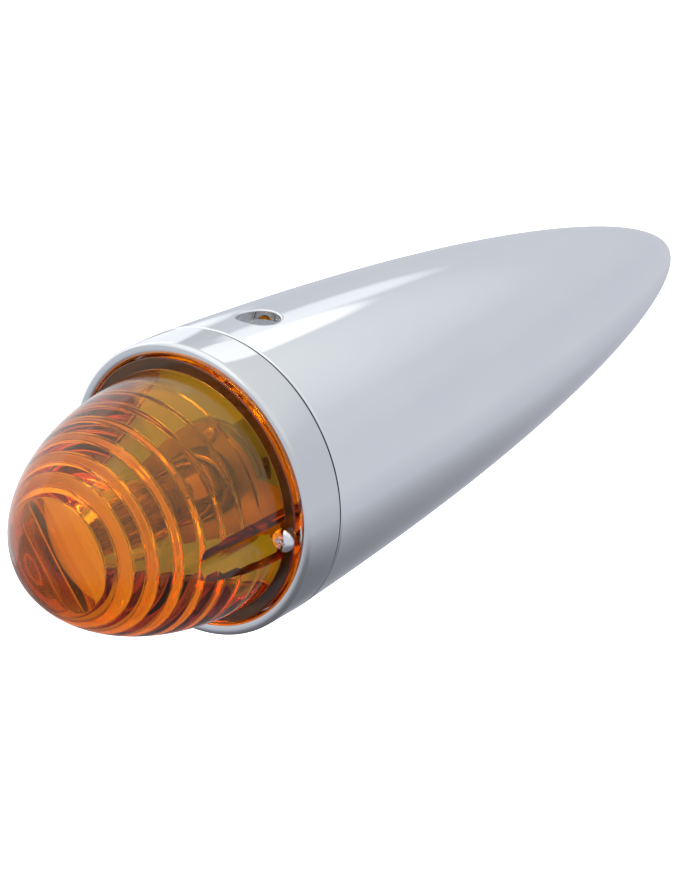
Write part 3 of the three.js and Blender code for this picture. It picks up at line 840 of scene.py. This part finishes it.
def strap_outline():
    """Half of the strap's outline, from the tip of one arm round the ring to the tip of the other."""
    tip = SCREW_CIRCLE + 2.3
    arm = math.asin(STRAP_HALF_WIDTH / STRAP_RING_RADIUS)
    points = [(tip, 0.0), (tip - 0.3, 1.6), (tip - 1.4, 2.9), (tip - 5, STRAP_HALF_WIDTH)]
    count = 24
    for k in range(count + 1):
        a = arm + (math.pi - 2 * arm) * k / count
        points.append((STRAP_RING_RADIUS * math.cos(a), STRAP_RING_RADIUS * math.sin(a)))
    points += [(-tip + 5, STRAP_HALF_WIDTH), (-tip + 1.4, 2.9), (-tip + 0.3, 1.6)]
    return points


def make_bracket():
    half = strap_outline()
    outline = half + [(-x, -z) for x, z in half]
    turn = complex(math.cos(SCREW_TILT), math.sin(SCREW_TILT))

    def build(bm):
        loops = []
        for s in (STRAP_FRONT, STRAP_BACK):
            turned = [complex(x, z) * turn for x, z in outline]
            loops.append([bm.verts.new(lamp(p.real, s, p.imag)) for p in turned])
        count = len(outline)
        for i in range(count):
            j = (i + 1) % count
            bm.faces.new((loops[0][i], loops[0][j], loops[1][j], loops[1][i]))
        bm.faces.new(loops[0])
        bm.faces.new(list(reversed(loops[1])))

    strap = solid("socket_strap", build)
    front, back = STRAP_FRONT - 1, STRAP_BACK + 1
    drill(strap, STRAP_BORE_RADIUS, front, back, [(0, 0)], 96)
    drill(strap, SCREW_HOLE_RADIUS, front, back, round_the_screws())
    drill(strap, RIVET_HOLE_RADIUS, front, back, rivet_places())
    soften(strap, 0.15)
    finish_piece(strap, ZINC, "body", "socket_bracket")


def rivet_places():
    return round_the_screws(RIVET_CIRCLE, math.pi / 2)


def make_rivets():
    front = STRAP_FRONT - FIT
    back = COLLAR_BACK + FIT
    head = RIVET_HEAD_RADIUS
    profile = [(0.0, front - RIVET_HEAD_HEIGHT)]
    rows = 6
    for k in range(1, rows + 1):
        a = math.pi / 2 * k / rows
        profile.append((head * math.sin(a), front - RIVET_HEAD_HEIGHT * math.cos(a)))
    profile += [(RIVET_RADIUS, front), (RIVET_RADIUS, back), (head - 0.2, back)]
    profile += [(head - 0.3, back + 0.35), (head - 0.6, back + 0.5), (0.0, back + 0.5)]
    for i, place in enumerate(rivet_places()):
        rivet = solid(f"strap_rivet_{i + 1}", lambda bm: add_lathe(bm, profile, 40, place))
        finish_piece(rivet, ZINC, "body", f"bracket_rivet_{i + 1}")


def make_shell():
    crimp = SHELL_BORE - 1
    profile = rounded([
        (SHELL_BORE, SHELL_FRONT, 0.3),
        (SHELL_RADIUS, SHELL_FRONT, 0.3),
        (SHELL_RADIUS, COLLAR_FRONT, 0.3),
        (STRAP_RING_RADIUS, COLLAR_FRONT, 0.3),
        (STRAP_RING_RADIUS, COLLAR_BACK, 0.3),
        (SHELL_RADIUS, COLLAR_BACK, 0.5),
        (SHELL_RADIUS, SHELL_BACK, 0.6),
        (crimp, SHELL_BACK, 0.25),
        (crimp, SHELL_BACK - CRIMP_LENGTH, 0.25),
        (SHELL_BORE, SHELL_BACK - CRIMP_LENGTH, 0.2),
    ])
    shell = solid("bayonet_shell", lambda bm: add_lathe(bm, profile, 96))
    for i, pin in enumerate(BULB_PINS):
        cut_bayonet_slot(shell, pin, i * math.pi)
    drill(shell, RIVET_HOLE_RADIUS, COLLAR_FRONT - 1, COLLAR_BACK + 1, rivet_places())
    finish_piece(shell, ZINC, "body", "socket_shell")


def cut_bayonet_slot(shell, pin, side):
    """Cuts the pocket that a pin turns in, and the lane that leads to it from the front."""
    half = BULB_PIN_RADIUS + SLOT_PLAY
    depth = SHELL_BORE + 0.2
    front = pin - half
    back = pin + PRESS_TRAVEL + half
    mouth = SHELL_FRONT - 1
    steps = 6
    spans = [(front, TWIST * k / steps) for k in range(steps + 1)] + [(mouth, TWIST)]
    for start, turn in spans:
        size = (SLOT_DEPTH, back - start, 2 * half)
        centre = (depth, (start + back) / 2, 0)
        cut(shell, solid("slot", lambda bm: add_bar(bm, size, centre, side + turn)))


def make_washer():
    profile = plain_ring(WASHER_BORE, SLIDING_RADIUS, WASHER_FRONT, WASHER_BACK, 0.2)
    washer = solid("spring_washer", lambda bm: add_lathe(bm, profile, 80))
    finish_piece(washer, PHENOLIC, "body", "socket_back")


def make_spring():
    """A compression spring whose turns lie closer at its ends and its middle."""
    start = CARRIER_BACK + SPRING_WIRE + 0.1
    end = WASHER_FRONT - SPRING_WIRE - 0.1
    count = SPRING_TURNS * 40
    path = []
    for i in range(count + 1):
        t = i / count
        a = 2 * math.pi * SPRING_TURNS * t
        s = start + (end - start) * (t - SPRING_EASE * math.sin(4 * math.pi * t))
        path.append(lamp(SPRING_RADIUS * math.cos(a), s, SPRING_RADIUS * math.sin(a)))
    spring = solid("contact_coil", lambda bm: add_tube(bm, path, SPRING_WIRE, 12))
    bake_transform(spring)
    dress(spring, SPRING, "contact_spring", 60)


def make_carrier():
    profile = rounded([
        (0.0, CARRIER_FRONT),
        (SLIDING_RADIUS, CARRIER_FRONT, 0.3),
        (SLIDING_RADIUS, CARRIER_BACK, 0.3),
        (0.0, CARRIER_BACK),
    ], closed=False)
    disc = solid("carrier_disc", lambda bm: add_lathe(bm, profile, 80))
    holes = [(0, CONTACT_OFFSET), (0, -CONTACT_OFFSET)]
    drill(disc, CONTACT_HOLE_RADIUS, CARRIER_FRONT - 1, CARRIER_BACK + 1, holes)
    finish_piece(disc, PHENOLIC, "contacts", "contact_carrier")


def make_posts():
    head = CARRIER_FRONT - 0.7
    tail = CARRIER_BACK + 4
    profile = rounded([
        (0.0, head),
        (2.1, head, 0.35),
        (2.1, CARRIER_FRONT - FIT, 0.1),
        (0.9, CARRIER_FRONT - FIT),
        (0.9, CARRIER_BACK + 0.4, 0.2),
        (1.3, CARRIER_BACK + 0.8, 0.2),
        (1.3, tail, 0.15),
        (0.8, tail, 0.1),
        (0.8, tail - 2),
        (0.0, tail - 2),
    ], closed=False)
    for name, side in (("tail", -1), ("turn", 1)):
        post = solid(f"post_{name}", lambda bm: add_lathe(bm, profile, 40, (0, side * CONTACT_OFFSET)))
        finish_piece(post, BRASS, "contacts", f"contact_post_{name}")


# ---------- bulb ----------


def make_bulb_base():
    bore = BULB_BASE_RADIUS - 0.5
    profile = rounded([
        (bore, BASE_FRONT, 0.2),
        (BULB_BASE_RADIUS, BASE_FRONT, 0.25),
        (BULB_BASE_RADIUS, BASE_FRONT + 3.2),
        (BULB_BASE_RADIUS - 0.18, BASE_FRONT + 3.6, 0.2),
        (BULB_BASE_RADIUS, BASE_FRONT + 4.0),
        (BULB_BASE_RADIUS, BASE_BACK, 0.7),
        (6.0, BASE_BACK, 0.15),
        (6.0, BASE_BACK - 0.4),
        (bore, BASE_BACK - 0.4, 0.1),
    ])
    base = solid("bulb_cap", lambda bm: add_lathe(bm, profile, 96))
    finish_piece(base, BRASS, "bulb", "bulb_base")


def make_bulb_pins():
    """Two pins at different heights, so that the bulb goes in only one way round."""
    foot = BULB_BASE_RADIUS + FIT
    length = BULB_PIN_TIP - foot
    profile = rounded([
        (0.0, 0.0),
        (BULB_PIN_RADIUS, 0.0),
        (BULB_PIN_RADIUS, length, 0.3),
        (0.0, length),
    ], closed=False)
    lay = Matrix.Rotation(-math.pi / 2, 4, "Z") @ Matrix.Translation(-lamp(0, 0, 0))
    for i, (s, side) in enumerate(zip(BULB_PINS, (1, -1))):
        place = Matrix.Translation(lamp(side * foot, s, 0)) @ Matrix.Rotation(i * math.pi, 4, "Y") @ lay
        bm = bmesh.new()
        add_lathe(bm, profile, 32)
        bmesh.ops.transform(bm, matrix=place, verts=bm.verts)
        pin = to_object(bm, f"bayonet_pin_{i + 1}")
        finish_piece(pin, BRASS, "bulb", f"bulb_pin_{i + 1}")


def make_bulb_foot():
    profile = rounded([
        (0.0, BASE_BACK - 2),
        (6.8, BASE_BACK - 2, 0.2),
        (6.8, BASE_BACK - 0.45, 0.1),
        (5.8, BASE_BACK - 0.45),
        (5.8, INSULATOR_BACK, 0.6),
        (0.0, INSULATOR_BACK),
    ], closed=False)
    bead = solid("insulator_bead", lambda bm: add_lathe(bm, profile, 80))
    finish_piece(bead, VITRITE, "bulb", "bulb_insulator")
    back = INSULATOR_BACK + FIT
    drop = [(0.0, back), (1.75, back)]
    rows = 8
    for k in range(1, rows + 1):
        a = math.pi / 2 * k / rows
        radius = 1.8 * math.cos(a) if k < rows else 0.0
        drop.append((radius, back + 0.6 * math.sin(a)))
    for name, side in (("tail", -1), ("turn", 1)):
        pad = solid(f"solder_pad_{name}", lambda bm: add_lathe(bm, drop, 40, (0, side * CONTACT_OFFSET)))
        finish_piece(pad, SOLDER, "bulb", f"bulb_contact_{name}")


def glass_outline(inset):
    """The bulb from its tip to the open end of its neck."""
    ball = GLASS_RADIUS - inset
    points = [(0.0, GLASS_CENTRE - ball)]
    for i in range(1, BALL_ROWS + 1):
        a = BALL_ARC * i / BALL_ROWS
        points.append((ball * math.sin(a), GLASS_CENTRE - ball * math.cos(a)))
    neck = [(7.15 - inset, -14.3, 4.0), (6.8 - inset, -11.5, 2.0), (6.8 - inset, 0.0)]
    start = points[-1]
    return points[:-1] + rounded([start] + neck, closed=False, steps=8)


def make_bulb_glass():
    outline = glass_outline(0.0) + list(reversed(glass_outline(GLASS_WALL)))
    glass = solid("bulb_envelope", lambda bm: add_lathe(bm, outline, 128))
    finish_piece(glass, LAMP_GLASS, "bulb", "bulb_glass", 50)
    stem = rounded([
        (0.0, STEM_TOP),
        (1.9, STEM_TOP + 0.2, 0.5),
        (2.1, -8.0, 2.0),
        (3.2, -4.0, 2.0),
        (5.6, -1.5, 0.3),
        (5.6, -1.0, 0.2),
        (0.0, -1.0),
    ], closed=False)
    mount = solid("glass_stem", lambda bm: add_lathe(bm, stem, 64))
    finish_piece(mount, LAMP_GLASS, "bulb", "bulb_stem", 50)


FILAMENTS = {
    "turn": {"s": GLASS_CENTRE, "half": 3.0, "z": 1.4},
    "tail": {"s": GLASS_CENTRE + 4.5, "half": 2.4, "z": -1.4},
}


def coil_path(s, half, z):
    """A coil across the lamp axis, half long to each side."""
    path = []
    count = COIL_TURNS * 12
    for i in range(count + 1):
        t = i / count
        a = 2 * math.pi * COIL_TURNS * t
        x = -half + 2 * half * t
        path.append(lamp(x, s + COIL_RADIUS * math.cos(a), z + COIL_RADIUS * math.sin(a)))
    return path


def lead_path(side, s, half, z):
    """From the glass stem up to one end of a filament."""
    x = side * (half + 0.6)
    knee = s - 0.4
    return smooth_path([
        lamp(side * 1.1, STEM_TOP - 0.1, z * 0.6),
        lamp(side * 1.3, STEM_TOP - 1.5, z * 0.65),
        lamp(x * 0.93, (STEM_TOP + knee) / 2, z * 0.9),
        lamp(x, knee + 1.5, z),
        lamp(x, knee, z),
    ])


def make_filaments():
    number = 0
    for name, spot in FILAMENTS.items():
        coil = solid(f"coil_{name}", lambda bm: add_tube(bm, coil_path(**spot), COIL_WIRE, 6))
        finish_piece(coil, TUNGSTEN, "bulb", f"filament_{name}", 60)
        for side in (1, -1):
            number += 1
            path = lead_path(side, **spot)
            wire = solid(f"lead_in_{number}", lambda bm: add_tube(bm, path, LEAD_WIRE, 12))
            finish_piece(wire, TUNGSTEN, "bulb", f"filament_support_{number}", 60)


def smooth_path(points, steps=6):
    """Points on a Catmull-Rom curve through the given points."""
    out = []
    padded = [points[0] * 2 - points[1], *points, points[-1] * 2 - points[-2]]
    for a, b, c, d in zip(padded, padded[1:], padded[2:], padded[3:]):
        for k in range(steps):
            t = k / steps
            bend = (2 * a - 5 * b + 4 * c - d) * t**2 + (3 * b - a - 3 * c + d) * t**3
            out.append(0.5 * (2 * b + (c - a) * t + bend))
    out.append(points[-1])
    return out


make_housing()
make_bezel()
make_bezel_gasket()
make_lens_gasket()
make_lens()
make_screws()
make_bracket()
make_rivets()
make_shell()
make_washer()
make_spring()
make_carrier()
make_posts()
make_bulb_base()
make_bulb_pins()
make_bulb_foot()
make_bulb_glass()
make_filaments()


# ---------- floor, light and camera ----------

FLOOR_HALF = 4.0
FLOOR_DROP = 0.26


def make_floor():
    """A pale floor well below the lamp. It is left out of reflections and of what shows through the lens."""
    half = FLOOR_HALF
    height = cad_low.z - FLOOR_DROP
    mesh = bpy.data.meshes.new("floor")
    corners = [(-half, -half, height), (half, -half, height), (half, half, height), (-half, half, height)]
    mesh.from_pydata(corners, [], [(0, 1, 2, 3)])
    floor = bpy.data.objects.new("floor", mesh)
    bpy.context.scene.collection.objects.link(floor)
    m = Nodes("pale_floor")
    tone = m.colours(m.noise(3.0), (0.3, (0.90, 0.90, 0.90)), (0.7, (0.92, 0.92, 0.92)))
    m.link(tone, m.shader.inputs["Base Color"])
    m.shader.inputs["Roughness"].default_value = 0.9
    m.shader.inputs["Specular IOR Level"].default_value = 0.1
    mesh.materials.append(m.material)
    floor.visible_glossy = False
    floor.visible_diffuse = False
    floor.visible_transmission = False


class Sky:
    """A short way to write the world's node tree."""

    def __init__(self, tree):
        self.nodes = tree.nodes
        self.links = tree.links
        self.nodes.clear()
        self.direction = self.nodes.new("ShaderNodeTexCoord").outputs["Generated"]

    def feed(self, value, socket):
        if isinstance(value, (int, float)):
            socket.default_value = value
        elif isinstance(value, tuple):
            socket.default_value = (*value, 1.0)
        else:
            self.links.new(value, socket)

    def math(self, operation, *values):
        node = self.nodes.new("ShaderNodeMath")
        node.operation = operation
        for value, socket in zip(values, node.inputs):
            self.feed(value, socket)
        return node.outputs[0]

    def mix(self, share, one, two, blend="MIX"):
        node = self.nodes.new("ShaderNodeMixRGB")
        node.blend_type = blend
        for value, socket in zip((share, one, two), node.inputs):
            self.feed(value, socket)
        return node.outputs["Color"]

    def smooth(self, value, low, high):
        """0 below low, 1 above high, with a soft change between."""
        node = self.nodes.new("ShaderNodeMapRange")
        node.interpolation_type = "SMOOTHSTEP"
        self.links.new(value, node.inputs["Value"])
        node.inputs["From Min"].default_value = low
        node.inputs["From Max"].default_value = high
        return node.outputs["Result"]

    def toward(self, azimuth, elevation):
        """The cosine of the angle between the ray and a direction, azimuth from +Y towards +X."""
        a, e = math.radians(azimuth), math.radians(elevation)
        node = self.nodes.new("ShaderNodeVectorMath")
        node.operation = "DOT_PRODUCT"
        self.links.new(self.direction, node.inputs[0])
        node.inputs[1].default_value = (math.sin(a) * math.cos(e), math.cos(a) * math.cos(e), math.sin(e))
        return node.outputs["Value"]

    def patch(self, azimuth, elevation, radius, edge, strength):
        """A round soft light of an angular radius and edge width, in degrees."""
        low = math.cos(math.radians(radius + edge))
        high = math.cos(math.radians(radius))
        return self.math("MULTIPLY", self.smooth(self.toward(azimuth, elevation), low, high), strength)

    def by_height(self, *stops):
        """Colours from straight down (-1) to straight up (1)."""
        split = self.nodes.new("ShaderNodeSeparateXYZ")
        self.links.new(self.direction, split.inputs["Vector"])
        ramp = self.nodes.new("ShaderNodeValToRGB")
        points = ramp.color_ramp.elements
        while len(points) < len(stops):
            points.new(0.5)
        for point, (height, colour) in zip(points, stops):
            point.position = (height + 1) / 2
            point.color = (*colour, 1.0)
        self.links.new(self.math("MULTIPLY_ADD", split.outputs["Z"], 0.5, 0.5), ramp.inputs["Fac"])
        return ramp.outputs["Color"]


def mirror_room(sky):
    """What the chrome sees: grey-blue walls, dark floor, pale ceiling, softbox, white sweep, top light."""
    walls = sky.by_height(
        (-1.0, (0.14, 0.145, 0.16)),
        (-0.70, (0.20, 0.205, 0.23)),
        (-0.60, (0.32, 0.33, 0.37)),
        (-0.45, (0.52, 0.54, 0.60)),
        (-0.25, (0.60, 0.63, 0.69)),
        (0.10, (0.59, 0.62, 0.68)),
        (0.40, (0.63, 0.66, 0.71)),
        (0.62, (0.76, 0.79, 0.82)),
        (1.0, (0.88, 0.90, 0.92)),
    )
    softbox = sky.math("MAXIMUM", sky.patch(-28, 37, 8, 2, 0.42), sky.patch(-31, 25, 3, 4, 0.3))
    sweep = sky.patch(-78, 5, 34, 2, 0.45)
    overhead = sky.patch(-124, 50, 30, 20, 0.3)
    boxes = sky.math("ADD", softbox, sky.math("ADD", sweep, overhead))
    return sky.mix(1.0, walls, boxes, "ADD")


def glass_room(sky):
    """What is seen through the lens: the white sweep behind, and in front a room lit from above."""
    front = sky.by_height(
        (-1.0, (0.08, 0.08, 0.08)),
        (-0.35, (0.15, 0.15, 0.15)),
        (0.1, (1.0, 1.0, 1.0)),
        (1.0, (1.6, 1.6, 1.6)),
    )
    behind = sky.by_height(
        (-1.0, (0.7, 0.7, 0.7)),
        (-0.3, (1.05, 1.05, 1.05)),
        (0.2, (1.9, 1.9, 1.9)),
        (1.0, (2.2, 2.2, 2.2)),
    )
    return sky.mix(sky.smooth(sky.toward(-37.85, -23.8), -0.25, 0.15), front, behind)


def make_world():
    """A white studio. Chrome, lens and matt surfaces each see their own simplified version of it."""
    world = bpy.data.worlds.new("studio")
    bpy.context.scene.world = world
    world.use_nodes = True
    sky = Sky(world.node_tree)
    matt_room = sky.by_height((-1.0, (0.05, 0.05, 0.05)), (0.0, (0.4, 0.4, 0.41)), (0.6, (2.4, 2.4, 2.4)))
    path = sky.nodes.new("ShaderNodeLightPath").outputs
    mirrored = sky.math("MULTIPLY", path["Is Glossy Ray"], path["Is Reflection Ray"])
    colour = sky.mix(path["Is Camera Ray"], glass_room(sky), (1.05, 1.05, 1.05))
    colour = sky.mix(mirrored, colour, mirror_room(sky))
    colour = sky.mix(sky.math("GREATER_THAN", path["Diffuse Depth"], 0.5), colour, matt_room)
    background = sky.nodes.new("ShaderNodeBackground")
    sky.links.new(colour, background.inputs["Color"])
    output = sky.nodes.new("ShaderNodeOutputWorld")
    sky.links.new(background.outputs["Background"], output.inputs["Surface"])
    world.cycles.sampling_method = "NONE"


def make_key_light():
    """A soft light above the lens, which lights the bulb through it."""
    data = bpy.data.lights.new("key", "AREA")
    data.shape = "DISK"
    data.size = 0.25
    data.energy = 5.0
    light = bpy.data.objects.new("key", data)
    bpy.context.scene.collection.objects.link(light)
    place = lamp(-60.0, -120.0, 420.0)
    aim = lamp(0.0, -25.0, 0.0) - place
    light.location = place
    light.rotation_mode = "QUATERNION"
    light.rotation_quaternion = aim.to_track_quat("-Z", "Y")
    light.visible_glossy = False


def make_camera():
    """Looks at a point a little under the lamp axis, from the front right and above."""
    azimuth, elevation, distance = math.radians(37.85), math.radians(23.77), 0.6107
    aim = lamp(0.0, 46.8, -6.6)
    back = Vector((
        math.sin(azimuth) * math.cos(elevation),
        -math.cos(azimuth) * math.cos(elevation),
        math.sin(elevation),
    ))
    data = bpy.data.cameras.new("camera")
    data.lens = 107.7
    data.sensor_width = 36.0
    camera = bpy.data.objects.new("camera", data)
    bpy.context.scene.collection.objects.link(camera)
    camera.location = aim + back * distance
    camera.rotation_mode = "QUATERNION"
    camera.rotation_quaternion = (-back).to_track_quat("-Z", "Y")
    bpy.context.scene.camera = camera


make_floor()
make_world()
make_key_light()
make_camera()
bpy.context.scene.view_settings.view_transform = "Standard"
# The stepped lens sends light round many times before it comes out again.
bpy.context.scene.cycles.max_bounces = 32
bpy.context.scene.cycles.glossy_bounces = 16
bpy.context.scene.cycles.transmission_bounces = 24
